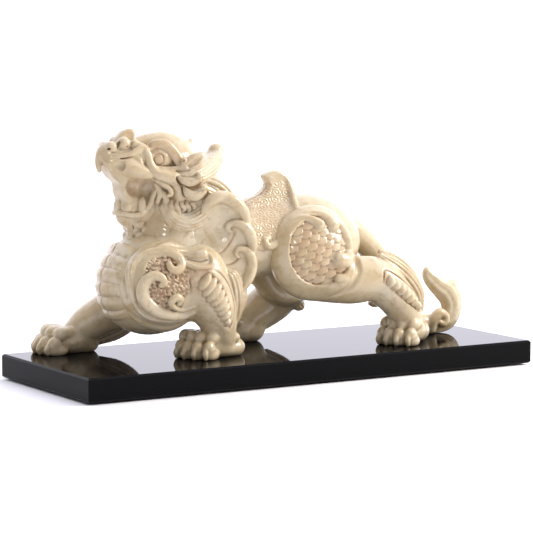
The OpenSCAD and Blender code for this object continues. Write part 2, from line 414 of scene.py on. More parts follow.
def paw(clay, sole, heading):
    """A clenched paw: knuckles, finger ends and claws. heading is in degrees from +X."""
    c, s = math.cos(math.radians(heading)), math.sin(math.radians(heading))
    turn = (0, 0, heading)

    def at(forward, aside, up):
        return (sole[0] + forward * c - aside * s, sole[1] + forward * s + aside * c, up)

    clay.blob(at(-3, 0, 10), (21, 16, 11), turn=turn, blend=5)
    clay.blob(at(-20, 0, 9), (11, 12, 10), turn=turn, blend=5)
    for aside in (-13.2, -4.5, 4.5, 13.2):
        back = 0.022 * aside**2   # the outer toes stand further back
        clay.sweep(
            [at(-4 - back, aside * 0.7, 16), at(5 - back, aside * 0.88, 18), at(12 - back, aside, 18)],
            [4.6, 5, 5.2], blend=2.2)
        clay.blob(at(12.5 - back, aside, 17.5), (6.6, 5.2, 5.8), turn=turn, blend=0.8)
        clay.blob(at(18 - back, aside * 1.03, 8.5), (6.6, 5.3, 7.4), turn=turn, blend=0.6)
        clay.blob(at(15 - back, aside * 1.04, 3.8), (9, 5.3, 5.2), turn=turn, blend=1.2)
        clay.sweep(
            [at(23.2 - back, aside * 1.05, 9), at(25.2 - back, aside * 1.07, 5.2),
             at(24.4 - back, aside * 1.07, 1.5)], [2.2, 2.4, 1.6], blend=0.5)


# ---------- forelegs

def shoulder_ornament(clay, shift):
    """The ridge, crescent, curls, leaf and pebbled ground on the outside of the shoulder."""
    clay.settle()

    def moved(places):
        return [(x + shift, z) for x, z in places]

    def lay(places, radii, **how):
        clay.relief(moved(places), radii, stain=0, **how)

    def cut(places, radii, **how):
        clay.score(moved(places), radii, **how)

    ground_edge = [
        (-144, 70), (-138, 83), (-127, 88), (-114, 87), (-103, 79), (-95, 72), (-97, 59), (-108, 54),
        (-111, 44), (-124, 42), (-137, 50), (-143, 60)]

    def ground_of_grains(x, y, z):
        inside = ease(0.5, -2, outline_distance(x - shift, z, ground_edge)) * (y < -22)
        fade = ease(-94, -116, x - shift)
        height = pebbles(x - shift + 0.3 * z, z, 3.1) * (0.3 + 1.0 * fade) - 0.4 - 1.4 * fade
        return height * inside, (fade * 0.75 + 0.1) * inside

    clay.engrave((-152 + shift, -60, 36), (-84 + shift, -20, 98), ground_of_grains)
    lay(
        [(-104, 90.5), (-112, 91.5), (-125, 93), (-138, 90), (-147, 82), (-150.4, 71), (-150.6, 59.5),
         (-147, 47.5), (-138, 38.5), (-124, 34.5), (-108, 34)],
        [1.2, 1.8, 2.2, 2.4, 2.4, 2.4, 2.2, 2, 1.8, 1.6, 1], lift=0.1, blend=1.6)
    cut(
        [(-140, 93.5), (-149, 86), (-153.2, 75.5), (-154.2, 63.5), (-152.6, 54)], [0.5, 0.9, 0.9, 0.9, 0.5],
        blend=1.6, stain=0.35)
    lay(
        [(-97, 40), (-106, 37.8), (-116, 38.6), (-129, 42), (-140, 50), (-144, 59), (-142, 67.5),
         (-135.5, 72.5), (-129.5, 70.8), (-127.6, 66.5), (-130.5, 64.8)],
        [1.6, 3, 4, 5, 5.8, 5.8, 5.2, 4.4, 3.6, 3, 2.4], lift=0.1, flat=0.62, blend=0.7)
    lay(
        [(-134, 89.5), (-124, 90), (-116, 89), (-111.2, 85), (-111, 79), (-116, 76), (-120.8, 78.3),
         (-121.6, 81.6)], [1.4, 2.6, 3.8, 4.4, 4.2, 3.6, 3, 2.7], lift=0.1, flat=0.75, blend=0.6)
    lay(
        [(-99, 45), (-109, 43), (-116, 45), (-121, 48.6), (-121, 52.3), (-117, 54.4), (-113, 52.5),
         (-114.4, 49.2)], [0.8, 1.6, 2.2, 3, 3.4, 3.4, 3, 2.4], lift=0.1, flat=0.8, blend=0.6)
    for spot, size in (((-116.8, 81.6), 1.1), ((-133.4, 67), 1.3), ((-117.4, 49.6), 0.9)):
        clay.blob(clay.skin([(spot[0] + shift, spot[1])], 0.6)[0], size, blend=0.6, carve=True, stain=0.9)
    lay(
        [(-110.5, 87.6), (-105.8, 81), (-95.5, 77.2), (-87, 78.8), (-84.8, 84.6), (-87.5, 90)],
        [0.8, 2, 2.5, 2.3, 1.8, 0.8], lift=0.5, blend=0.6)
    lay([(-110, 88.4), (-102.5, 88), (-96, 88), (-91.5, 88.2)], [0.8, 2.4, 3.6, 4.6], lift=0.6, blend=0.5)
    cut([(-104, 84.5), (-96, 82.5), (-89.5, 83.6)], [0.5, 0.9, 0.7], stain=0.8)
    cut(
        [(-99, 32), (-112, 28.5), (-128, 30), (-143, 36.5), (-154, 46)], [0.6, 1, 1.1, 1, 0.6], lift=0.3,
        blend=3)


def beads(clay, line, half_widths, count, rim):
    """A row of plump lobes in a trough on the outer face, along the (x, z) line, inside a fine rim."""
    clay.settle()
    path = spline(np.column_stack([np.array(line, float), half_widths]), 12)
    lengths = np.concatenate([[0], np.cumsum(np.hypot(*np.diff(path[:, :2], axis=0).T))])
    clay.score(path[::6, :2], path[::6, 2] + 0.8, lift=0.2, flat=0.3, blend=0.5, stain=0.8)
    clay.score(rim, 0.8, stain=0.75)
    pitch = lengths[-1] / count
    for i in range(count):
        place = (i + 0.5) * pitch
        x, z, half = (np.interp(place, lengths, path[:, k]) for k in range(3))
        k = min(int(np.searchsorted(lengths, place)), len(path) - 1)
        step = path[k, :2] - path[k - 1, :2]
        turn = math.degrees(math.atan2(step[1], step[0])) + 12
        spot = clay.skin([(x, z)], -1.4)[0]
        clay.blob(spot, (pitch * 0.68, 4.8, half + 0.2), turn=(0, -turn, 0), blend=0.5, stain=0.1)


def fringe(clay, path, radii, ribs=10):
    """A lock of long hair down the back of a leg, on the outer face."""
    clay.sweep(path, radii, flat=0.6, ribs=ribs, rib_depth=0.26, blend=1.2, stain=0.12)


def carve_foreleg(node, shift, limb, limb_radii, sole, heading, heel, bead_row, locks):
    """One foreleg. shift moves its shoulder towards the tail."""
    reach = np.array([(*sole, 0)] + list(limb))
    clay = Clay(
        (min(reach[:, 0].min() - 36, -168), reach[:, 1].min() - 32, -2),
        (max(reach[:, 0].max() + 32, -46), -12, 110), LIMB_VOXEL)
    clay.blob((-117 + shift, -4, 62), (44, 42, 43))
    clay.trim(1, -19, 1, blend=6)
    clay.sweep(limb, limb_radii, blend=9, per_span=9)
    clay.smooth(3)
    shoulder_ornament(clay, shift)
    paw(clay, sole, heading)
    clay.blob(heel, (12, 11, 9), blend=2)
    clay.blob((heel[0] - 12, heel[1] - 2, heel[2] - 1), (16, 11, 7), blend=4)
    clay.blob((heel[0] - 1, heel[1] - 8, heel[2] + 9), (4.5, 4.5, 4.5), blend=1.5)
    beads(clay, *bead_row)
    for lock in locks:
        fringe(clay, *lock)
    clay.trim(2, 0, -1, blend=0.8)
    clay.cast(node)


def carve_forelegs():
    """The left foreleg stands under its shoulder; the right one reaches ahead."""
    carve_foreleg(
        "left_foreleg", 0,
        limb=[(-88, -24, 70), (-79, -31, 50), (-71, -31, 32), (-66, -28, 17)],
        limb_radii=[26, 21, 15.5, 12], sole=(-78, -22), heading=208, heel=(-54, -24, 7),
        bead_row=([(-94.5, 68), (-87.5, 59.7), (-81.8, 51.7), (-76.8, 43.8), (-73, 36), (-70, 29)],
                  [7.8, 9.6, 8.6, 7.2, 5.4, 2.6], 8,
                  [(-103, 59), (-104.2, 68.5), (-98, 75), (-88, 76), (-78.5, 72.5), (-71, 64), (-66, 52),
                   (-63, 41), (-63.8, 33), (-68, 26)]),
        locks=[([(-70, -40, 74), (-63, -43, 66), (-59, -42, 50), (-58, -38, 36), (-60, -34, 25)],
                [3, 6.5, 7, 6, 3]),
               ([(-64, -38, 77), (-56, -40, 64), (-52.5, -38, 49), (-53.5, -34, 34)], [2.5, 6, 6, 3])])
    carve_foreleg(
        "right_foreleg", 10,
        limb=[(-108, -26, 56), (-126, -38, 40), (-146, -52, 26), (-156, -59, 15)],
        limb_radii=[26, 18, 14.5, 12], sole=(-167, -61), heading=182, heel=(-148, -60, 7),
        bead_row=([(-121, 53), (-131, 42), (-143, 30)], [4.6, 5.4, 3], 6,
                  [(-116, 60), (-113, 50), (-122, 39), (-134, 30), (-146, 23)]),
        locks=[([(-100, -40, 46), (-110, -46, 29), (-122, -52, 18), (-138, -57, 9)], [6, 10, 9.5, 5])])


# ---------- hind legs

def haunch_ornament(clay):
    """A field of fish scales inside the broad rim of the haunch, with knobbed curls at its edge."""
    clay.settle()

    def scale_field(x, y, z):
        middle_x, middle_z, half_width, half_height, slant = 22, 83, 29.5, 30, -0.42
        k = np.sqrt(((x - middle_x) / half_width) ** 2 + ((z - middle_z - 2) / half_height) ** 2)
        inside = (1 - ease(1 - 2 / half_width, 1, k)) * (y < -24)
        c, s = math.cos(slant), math.sin(slant)
        dx, dz = x - middle_x, z - middle_z
        u, v = dx * c - dz * s, dx * s + dz * c
        height = scales(u, v, 10.8)
        return (height * 2.5 - 3.3) * inside, (1.0 - 0.7 * height) * inside

    clay.engrave((-10, -60, 52), (54, -22, 118), scale_field)
    clay.score(
        [(33, 44.5), (45, 52.5), (54.5, 66), (60, 82), (59, 97), (50, 110)], [0.8, 1.6, 2, 2, 1.4, 0.6],
        lift=0.4, blend=3)
    for places, radii in (
            ([(0, 111), (8, 113), (16, 111.2), (22.5, 106.8)], [1.2, 2.4, 3.4, 4.8]),
            ([(14, 117), (24, 116), (31, 112), (36, 105.5)], [1.2, 2.6, 4, 5.8]),
            ([(34, 114.5), (44, 106), (51, 93), (52, 82), (47, 75.5), (40.5, 75.5)],
             [1.6, 3.2, 4, 4.8, 6.6, 7.6]), ([(47, 67), (42.5, 62), (37, 61)], [1.6, 3.2, 4])):
        clay.relief(places, radii, lift=-1.2, flat=0.75, blend=1.2, stain=0)
    clay.score([(15, 114.4), (25, 112), (29.5, 106), (31, 100)], [0.6, 0.9, 1, 0.6], stain=0.8)


def carve_hind_leg(node, limb, limb_radii, sole, heading, bead_row, locks):
    """One hind leg with its haunch."""
    reach = np.array([(*sole, 0)] + list(limb))
    clay = Clay(
        (min(reach[:, 0].min() - 36, -22), reach[:, 1].min() - 32, -2),
        (max(reach[:, 0].max() + 32, 68), -8, 126), LIMB_VOXEL)
    clay.sweep(limb, limb_radii, blend=7, per_span=9)
    clay.smooth(3)
    clay.blob((23, -27, 82), (40, 20, 40.5), blend=2.5)
    clay.trim(1, -13, 1, blend=3)
    clay.smooth(1)
    haunch_ornament(clay)
    paw(clay, sole, heading)
    beads(clay, *bead_row)
    for lock in locks:
        fringe(clay, *lock)
    clay.trim(2, 0, -1, blend=0.8)
    clay.cast(node)


def carve_hind_legs():
    """The left hind leg is stretched back; the right one steps under the belly."""
    carve_hind_leg(
        "left_hind_leg",
        limb=[(30, -22, 66), (58, -32, 58), (80, -38, 57), (96, -42, 44), (108, -42, 28), (114, -38, 15)],
        limb_radii=[26, 21, 18.5, 16.5, 14.5, 13], sole=(111, -38), heading=208,
        bead_row=([(82, 58), (95, 49), (106, 40), (115, 32)], [4.6, 5.6, 5.2, 3.8], 7,
                  [(77, 56), (80, 66), (92, 60.5), (106, 50), (118, 39), (121, 31)]),
        locks=[([(84, -42, 77), (97, -45, 68), (110, -46, 57), (120, -45, 44), (124, -43, 30)],
                [3.5, 6, 6.5, 6, 3.5]),
               ([(87, -36, 80), (101, -38, 71), (114, -39, 59), (122, -39, 46), (124, -38, 32)],
                [3, 6, 6.5, 6, 4])])
    carve_hind_leg(
        "right_hind_leg",
        limb=[(28, -28, 58), (38, -40, 46), (25, -44, 34), (8, -44, 23), (-6, -44, 14)],
        limb_radii=[27, 21, 17.5, 16, 14.5], sole=(-15, -44), heading=182,
        bead_row=([(43, 48), (36, 37), (23, 28)], [4, 5.2, 3], 6, [(48, 54), (50, 44), (40, 31), (26, 22)]),
        locks=[([(50, -44, 44), (49, -46, 33), (38, -46, 23), (22, -45, 12)], [3, 6.5, 6.5, 3.5]),
               ([(40, -30, 40), (48, -34, 30), (54, -36, 27)], [8, 6, 1.2])])


# ---------- wings, crest and tail

def carve_wing(node):
    """A small upswept wing behind the shoulder, hollowed, with a rolled lip and two scrolls."""
    clay = Clay((-136, -58, 42), (-30, -14, 146), LIMB_VOXEL)

    def lean(x, z):
        hollow = 8 * np.exp(-(((x + 90) / 20) ** 2 + ((z - 105) / 15) ** 2))
        return -31 - 0.11 * (x + 110) + hollow + 0.02 * np.clip(z - 112, 0, 99)

    clay.plate(
        [(-132, 94), (-118, 99), (-103, 97), (-94, 103), (-89, 114), (-85, 126), (-79, 133), (-70, 136),
         (-60, 132), (-51, 124), (-47.5, 112), (-44, 104), (-42, 95), (-43, 86), (-43, 78), (-46, 66),
         (-54, 54), (-66, 56), (-78, 70), (-100, 78), (-122, 84)], 4.2, rounding=3.2, middle=lean)
    clay.blob((-76, -24, 80), (26, 11, 18), blend=6)
    clay.trim(1, -17, 1, blend=2)
    clay.groove(
        [(-70, -44, 128), (-67, -45, 114), (-75, -45, 104), (-89, -44, 100.5), (-107, -42, 101.5),
         (-124, -40, 103)], [5, 8, 10, 11, 10, 6], blend=7)
    clay.smooth(1)
    clay.settle()
    clay.relief(
        [(-86, 122), (-82, 129), (-76, 133), (-69.5, 133.5), (-61.5, 130.5), (-54.5, 124.5), (-50.5, 117.5),
         (-48.5, 110)], [2.4, 4.4, 5.2, 5.4, 5.4, 5.2, 4.6, 2.8], lift=0.6, blend=1.6)
    clay.relief(
        [(-61.5, 104.5), (-64.5, 107.5), (-62.5, 111), (-56, 111.3), (-49.5, 107), (-45.6, 100), (-44, 92),
         (-45, 86)], [1.3, 2.2, 2.7, 3.6, 4.6, 4.9, 4.2, 2.2], lift=1, blend=0.8)
    clay.relief(
        [(-57, 83.5), (-59.3, 87), (-57, 90.3), (-50.5, 89.5), (-46, 84), (-44.5, 75.5), (-47.5, 66),
         (-53, 57)], [1.2, 1.9, 2.3, 3.2, 4.2, 4.8, 4.8, 2.8], lift=1, blend=0.8)
    clay.score(
        [(-59, 104.6), (-63.3, 96.4), (-69.3, 89.3), (-79, 83.5)], [0.8, 0.9, 0.9, 0.5], lift=0.3,
        stain=0.75)
    clay.score([(-56, 82.8), (-62.1, 78.4), (-70.6, 76.7)], [0.8, 0.9, 0.5], lift=0.3, stain=0.75)
    clay.cast(node)


def carve_crest():
    """The saddle-like crest on the back, with curled hair inside a smooth rim."""
    clay = Clay((-60, -40, 78), (24, 0, 154), FINEST_VOXEL, folded=True)
    clay.sweep([(-90, 0, 78), (-66, 0, 84), (-24, 0, 90), (8, 0, 93), (32, 0, 93)], [34, 33.5, 31, 33, 38])
    clay.keep(
        [(-58, 126), (-26, 127), (-10, 130), (14, 130), (13, 117), (4, 105), (-6, 96), (-15, 88), (-26, 85),
         (-40, 90), (-58, 96)])

    def half(x, z):
        return np.clip(3.6 + (150 - z) * 0.26, 3, 16)

    clay.plate(
        [(-32, 116), (-26, 125.5), (-13, 131), (-6.5, 138), (-8.5, 145), (-5, 148.5), (2, 149.8),
         (9.5, 146.5), (15.5, 137), (16.5, 128), (14, 117), (6, 106), (-8, 98), (-26, 100)], half,
        rounding=3, blend=8)
    clay.settle()

    def grain(x, y, z):
        inside = ease(0, 5, 14.5 - x - np.maximum(0, 124 - z) * 0.72) * (1 - ease(138, 146, z)) * (y < -1.5)
        return (0.22 * fleece(x + 0.2 * y, z + 0.35 * y, 8.5) - 0.6) * inside, 0.30 * inside

    clay.engrave((-60, -40, 84), (20, 0, 146), grain)
    clay.relief(
        [(-8, 146), (2, 148.5), (10.5, 144.5), (14.5, 137), (14.5, 127), (10.5, 116), (3, 106), (-7, 97),
         (-15, 91), (-22, 90), (-24.5, 94.5), (-20.5, 96.5)],
        [1.6, 2.4, 2.8, 2.9, 2.8, 2.7, 2.7, 2.8, 3.2, 3.4, 2.8, 2], lift=-0.6, blend=1.4, stain=0)
    clay.cast("dorsal_crest")


def carve_tail():
    """The tail runs down behind the haunch and ends in a grooved plume, with a ring at its foot."""
    clay = Clay((44, -26, -2), (206, 26, 126), TAIL_VOXEL)
    clay.sweep(
        [(46, 0, 102), (60, 0, 106), (72, 0, 100), (84, 0, 93), (99, 0, 80), (111, 0, 64), (122, 0, 45),
         (132, 0, 27), (147, 1, 13), (162, 2, 9)], [19, 13, 11.5, 10.8, 10.5, 10.2, 9.8, 9.4, 9, 8.5],
        blend=4)
    clay.sweep(
        [(156, 2, 8), (170, 2, 8), (184, 2, 12), (188, 2, 24), (183, 2, 36), (172.5, 2, 44), (163.5, 2, 52),
         (161, 2, 58)], [8, 9, 9.6, 10.4, 10.8, 9.4, 6.8, 2.2], blend=2.5, flat=0.66, ribs=7, rib_depth=0.1)
    clay.sweep([(178, 2, 36), (187, 2, 42), (191.5, 2, 46)], [7, 5, 1.2], blend=2.5, flat=0.6)
    clay.sweep(
        [(163, -3, 5), (164, -5, 13), (170, -6, 18.5), (176, -6, 14.5), (174, -7, 9), (169.5, -7, 10.5)],
        [5, 5, 4.8, 4.2, 3.4, 2.4], blend=0.8)
    clay.sweep(
        [(126, 0, 52), (114, 0, 40), (106, 0, 33), (100, 0, 31)], [8, 8, 6, 2], blend=3, ribs=8,
        rib_depth=0.2)
    clay.smooth(1)
    clay.trim(2, 0, -1, blend=0.8)
    clay.cast("tail")


# ---------- head

def wave_lock(clay, path, radius, knob):
    """A grooved lock of hair in a shallow bed, curling round to a small ball with a drilled eye."""
    x, y, z = knob
    shares = np.array([0.25, 0.85, 1, 0.95])
    bed = [(px - 0.4, py - 1, pz - 0.3 * radius) for px, py, pz in path]
    clay.groove(bed, radius * (shares + 0.32), flat=0.8, blend=0.5, stain=0.8)
    clay.sweep(path, radius * shares, flat=0.75, ribs=12, rib_depth=0.22, blend=0.2, stain=0.1)
    clay.blob((x, y, z), (3.2, 3, 3), blend=0.4, stain=0)
    clay.blob((x - 3.2, y - 0.8, z + 0.4), (1, 2, 1.1), blend=0.5, carve=True, stain=1)


def carve_skull(clay):
    """The neck, skull, muzzle and mouth wall, before any ornament."""
    clay.sweep([(-106, 0, 92), (-103, 0, 112), (-101, 0, 132)], [28, 23, 22], blend=3)
    clay.blob((-101, 0, 160), (27, 20, 22), blend=6)
    clay.blob((-108, 0, 148), (17, 20, 17), blend=5)
    clay.blob((-84, 0, 138), (24, 24, 24), blend=8)
    clay.sweep([(-80, 0, 140), (-66, 0, 128), (-50, 0, 112)], [22, 21, 18], blend=8)
    clay.sweep(
        [(-132, 0, 175), (-120, 0, 177.5), (-106, 0, 178), (-94, 0, 175), (-84, 0, 169)],
        [6.5, 7.5, 8.5, 8.5, 7], blend=4)
    clay.blob((-141, 0, 167), (21, 13, 10.5), blend=5)
    clay.blob((-156, 0, 170), (9, 9, 7.5), blend=4)
    clay.plate(
        [(-160.5, 163), (-158.5, 157), (-154, 150.5), (-148.5, 145), (-147.5, 138), (-145.5, 132),
         (-145, 122), (-125, 118), (-106, 126), (-104, 158), (-130, 168)], 11, rounding=5, blend=3)


def carve_lip(clay):
    """The hooked upper lip, the muzzle's side and the lines along it."""
    clay.sweep(
        [(-156, 0, 173), (-162, 0, 169), (-164, 0, 162), (-163.5, 0, 156)], [7, 4.2, 2.8, 1.5], blend=1.5)
    clay.sweep([(-161.5, -2, 169), (-160, -7, 163), (-158, -9, 157)], [3.2, 2.8, 1.8], blend=1.2)
    clay.sweep(
        [(-157, -8, 164), (-148, -12, 159.5), (-137, -14, 156.5), (-128, -16, 153)], [3.5, 5.5, 7, 6],
        blend=4)
    clay.blob((-139, -6, 163), (15, 9.5, 8.5), blend=4)
    clay.blob((-152, -14.5, 160.5), (5, 2.2, 3.2), turn=(0, 18, 0), blend=3, carve=True)
    clay.groove([(-160, -6, 166.5), (-150, -12.5, 166.5), (-140, -15.5, 168)], [0.6, 0.9, 0.6], stain=0.6)
    clay.sweep(
        [(-161, -5, 169), (-152, -11.5, 168.6), (-143, -14.5, 170), (-134, -15, 174.5), (-129, -15, 174)],
        [1.5, 2, 2, 2.2, 2], blend=0.9)
    clay.groove([(-158, -7.5, 171.5), (-150, -12.5, 171.5), (-141, -15, 173)], [0.5, 0.8, 0.5], stain=0.5)


def carve_nose(clay):
    """The nose, the nostrils and the leaf that stands on them."""
    clay.blob((-155, -5, 175.5), (6, 5, 4.8), blend=1.5)
    clay.blob((-144.5, -7, 177.5), (6.2, 5.6, 6), blend=1.2)
    clay.blob((-136, -9.5, 177.5), (4.6, 4.2, 4), blend=1)
    clay.plate(
        [(-151, 175), (-148.8, 182), (-143.5, 187.4), (-138, 189.8), (-133.8, 189.6), (-131.8, 187),
         (-132, 180), (-133, 174), (-142, 170)], 4.4, rounding=2.8, blend=1.6)
    clay.blob((-158.5, -8, 174.2), (1.4, 1.8, 0.9), blend=0.8, carve=True, stain=1)
    clay.blob((-150, -8, 177.5), (0.8, 2.4, 3.4), turn=(0, 25, 0), blend=0.8, carve=True, stain=0.6)
    clay.blob((-144, -12.4, 175.6), (1.6, 1.2, 1), blend=0.6, carve=True, stain=0.8)
    clay.blob((-139.8, -12.5, 178), (0.6, 1.4, 2.4), blend=0.8, carve=True, stain=0.5)


def carve_eye(clay):
    """A shallow oval socket, a low eyeball with its iris, a heavy lid and a thin brow edge."""
    clay.blob((-113, -21, 166.5), (15, 5, 11.5), turn=(0, 16, 0), blend=1.5, carve=True, stain=0.25)
    clay.blob((-114, -11.5, 165.5), (13.2, 8.6, 10), turn=(0, 16, 0), blend=0.5, stain=0.3)
    clay.blob((-132, -9.5, 167.5), (8.5, 7.5, 9), blend=3)
    clay.settle()
    iris = [(-118.5 + 4.2 * math.cos(a), 165 + 4.8 * math.sin(a)) for a in np.linspace(0, 2 * math.pi, 11)]
    clay.score(iris, 0.75, lift=0.2, stain=0.6)
    clay.sweep(
        [(-126, -15, 172.5), (-120, -16, 176.5), (-111.5, -17.5, 175.8), (-105, -19, 169.5),
         (-101.5, -20.5, 161)], [1.4, 2.8, 4, 4.2, 2.6], blend=0.6, flat=0.6, stain=0.35)
    clay.sweep(
        [(-128, -13, 173), (-121, -14.5, 178.8), (-110.5, -16.5, 178.4), (-103, -19, 171),
         (-98.5, -21.5, 162.5)], [1.2, 2, 2.4, 2.4, 2], blend=1.2)
    clay.sweep(
        [(-124.5, -17.5, 160.5), (-118, -19.5, 157.8), (-108, -21, 157), (-98.5, -22.5, 158.5)],
        [1, 1.9, 2.1, 1.6], blend=0.8)
    clay.groove([(-122, -20, 156.6), (-113, -22, 154.2), (-101, -24, 154.6)], [0.5, 0.9, 0.6], stain=0.6)


def carve_cheek(clay):
    """A strap from the nose past the eye to a roll on the cheek, and a thin band below it."""
    clay.sweep(
        [(-136, -10, 178.5), (-130, -14, 175), (-127.3, -17, 168.5), (-126, -18.5, 161.5),
         (-121.5, -20.5, 154), (-113, -22, 150.8), (-106, -22.5, 147.8), (-101.8, -23, 141.5),
         (-101, -23.5, 135.5), (-102, -23, 130.5)], [1.8, 2.8, 3.3, 3.6, 4.4, 5.8, 6.8, 6.8, 5.8, 3],
        blend=1.2, flat=0.85)
    clay.sweep(
        [(-134, -15, 153), (-126, -19.5, 148.5), (-117.3, -23, 144.6), (-112, -25, 141),
         (-110.6, -25.5, 137), (-113.4, -25, 135.6)], [1.2, 1.8, 2, 2, 1.9, 1.4], blend=0.5)
    clay.sweep(
        [(-142, -13, 170), (-135.5, -15.5, 165.5), (-132.3, -16.8, 158.5), (-131, -16.8, 152.5)],
        [1, 1.7, 1.8, 1.2], blend=1.6)
    clay.groove([(-110.6, -28, 139), (-108, -28.5, 142.5), (-110, -27, 146)], [0.9, 0.8, 0.5], stain=0.8)


def carve_mouth(clay):
    """The mouth's hollow and the folds at its corner."""
    clay.blob((-137, -14, 142), (8, 8, 7.5), blend=3, carve=True, stain=0.35)
    clay.blob((-127.5, -16, 139.5), (9.5, 9.5, 10), blend=3, carve=True, stain=0.35)
    clay.sweep([(-120, -17, 145), (-117, -18, 138), (-119, -17, 130)], [2.4, 2.6, 1.8], blend=0.8)
    clay.sweep([(-114, -20, 137), (-112.5, -20, 131), (-115, -19, 125)], [2.4, 2.8, 1.8], blend=1)


def carve_mane(clay):
    """The ears, the curled locks of the mane and the horn-like lock at the back."""
    clay.sweep(
        [(-99, -21, 157), (-92, -25, 161), (-86, -27, 165), (-80.5, -27, 170)], [4.5, 6.8, 5.4, 0.9],
        blend=1, flat=0.55)
    clay.groove([(-95, -28, 159), (-89, -31, 163.5), (-85, -31, 166.5)], [2, 3, 1.6], blend=1.2, stain=0.4)
    clay.sweep([(-88, 0, 170), (-82, 0, 173), (-78, 0, 179)], [7, 5, 1.2], blend=2)
    for lock, radii in (
            ([(-104, -20, 150), (-97, -25, 148), (-88, -25, 150), (-77, -18, 153), (-66, -10, 157),
              (-57, -5, 163)], [3.5, 7, 7.8, 8.5, 8.5, 6]),
            ([(-101, -24, 138), (-93, -27, 138), (-84, -27.5, 136), (-74, -27, 131), (-63, -27, 125)],
             [4.5, 7.6, 8.2, 8.4, 5.5]),
            ([(-113, -19, 125), (-108, -23, 116.5), (-98, -26, 113), (-87, -28, 117), (-77, -29, 126)],
             [5, 7.4, 8.2, 8.2, 5.5])):
        clay.sweep(lock, radii, blend=0.9, ribs=16, rib_depth=0.12)
    clay.sweep([(-84, 0, 156), (-70, 0, 154), (-60, 0, 160), (-54.5, 0, 168)], [12, 11, 8.2, 6.2], blend=3)
    clay.blob((-54.5, 0, 169), (6.6, 6.2, 6.2), blend=1)
    clay.blob((-61, -8, 153), (2.4, 2, 2.4), blend=1, carve=True, stain=0.7)
    for y, drop in ((-1, 0), (-9, 1), (-18, 5)):
        clay.sweep(
            [(-82, y, 152 - drop), (-66, y * 1.1, 146 - drop), (-53, y * 1.2, 132 - drop),
             (-46, y * 1.2, 116 - drop)], [6, 7.5, 7, 3.5], blend=1, ribs=9, rib_depth=0.2)
    clay.blob((-87, -20, 128), (10, 10, 8), blend=3)
    clay.blob((-101, -17, 125), (13, 9.5, 10), blend=2)
    for x, y, drop in (
            (-109, -24, 11), (-105, -26, 12), (-100.5, -27, 9), (-96, -27.5, 10), (-91.5, -28.5, 7)):
        clay.sweep(
            [(x, y + 1, 131), (x - 1.3, y, 131 - drop * 0.35), (x + 0.8, y - 0.6, 131 - drop * 0.7),
             (x - 0.5, y, 131 - drop)], [1.4, 2.1, 1.9, 0.8], blend=0.4, stain=0.2)
    wave_lock(
        clay, [(-105, -26, 150.5), (-100, -29.5, 147.2), (-94, -31, 146.8), (-89, -31.5, 149)], 4.2,
        (-89.3, -33.4, 151.6))
    wave_lock(
        clay, [(-100.5, -28, 143), (-97.8, -31, 137), (-91.5, -33, 135.4), (-86.5, -33.5, 138.5)], 4.6,
        (-86.8, -35.4, 142))
    clay.blob((-98.5, -25, 163.5), 2.6, blend=0.6)
    clay.blob((-99.8, -27, 163.8), (1, 1.6, 1.2), blend=0.5, carve=True, stain=1)


def carve_head():
    """The head with its neck and mane, without the lower jaw."""
    clay = Clay((-170, -44, 88), (-36, 0, 194), HEAD_VOXEL, folded=True)
    for carve in (carve_skull, carve_lip, carve_nose, carve_eye, carve_cheek, carve_mouth, carve_mane):
        carve(clay)
    clay.trim(2, 92, -1, blend=2)
    clay.cast("head")


def carve_jaw():
    """The lower jaw with its lip, teeth, tongue and curled beard."""
    clay = Clay((-158, -26, 88), (-100, 0, 156), FINEST_VOXEL, folded=True)
    clay.sweep([(-140, 0, 118), (-130, 0, 119), (-116, 0, 126)], [7.5, 11, 14], blend=2)
    # lower lip, turned out, rising to the mouth's corner
    clay.sweep(
        [(-149, 0, 121.5), (-147, -5.5, 121.5), (-140, -10.5, 119.5), (-131, -13.5, 120.5),
         (-125, -14.5, 127), (-122.5, -15.5, 134), (-120, -16.5, 140)], [2.4, 2.4, 2.4, 2.5, 2.3, 2.1, 1.6],
        blend=1)
    clay.groove(
        [(-146, -7.5, 118), (-139, -11.5, 116), (-130, -14, 117)], [0.6, 1, 0.6], blend=1.2, stain=0.4)
    # teeth, fangs and the root of the tongue
    clay.blob((-136, 0, 127), (11, 8, 5.5), blend=2)
    for x, y, r, high in (
            (-146.5, -1.6, 3, 131.5), (-143, -6, 3.2, 131), (-137.5, -9, 2.8, 128.5),
            (-130.5, -11.6, 3.8, 134.5)):
        clay.sweep(
            [(x, y, 124), (x, y, 124 + (high - 124) * 0.6), (x + 0.8, y, high)], [r, r * 0.85, 0.8],
            blend=0.7)
    clay.sweep([(-122, 0, 130), (-134, 0, 131), (-142, 0, 134)], [7, 6, 4.5], blend=1.5)
    # chin and curled beard
    clay.sweep([(-137, 0, 117), (-131, 0, 109), (-131, 0, 103), (-135, 0, 97)], [8, 8, 8, 6], blend=2)
    for x, y, z, size in (
            (-137, -3.5, 109, 3.4), (-131, -8.5, 112, 3.8), (-126, -9, 107, 3.8), (-137, -3.5, 102, 3.6),
            (-131, -8, 102.5, 3.8), (-138, -3.5, 96.5, 3.4), (-126, -8, 99.5, 3.6), (-132, -6, 96, 3.4)):
        clay.blob((x, y, z), size, blend=0.8)
        clay.groove(
            [(x - size * 0.5, y - size * 0.85, z - size * 0.4), (x, y - size, z + size * 0.5),
             (x + size * 0.5, y - size * 0.8, z - size * 0.2)], 0.5, blend=0.5, stain=0.7)
    clay.cast("lower_jaw")


# ---------- materials

made_materials = {}


def node_material(name, build):
    """The material of that name, made once. build gets its node tree and its shader."""
    if name not in made_materials:
        material = bpy.data.materials.new(name)
        material.use_nodes = True
        build(material.node_tree, material.node_tree.nodes["Principled BSDF"])
        made_materials[name] = material
    return made_materials[name]


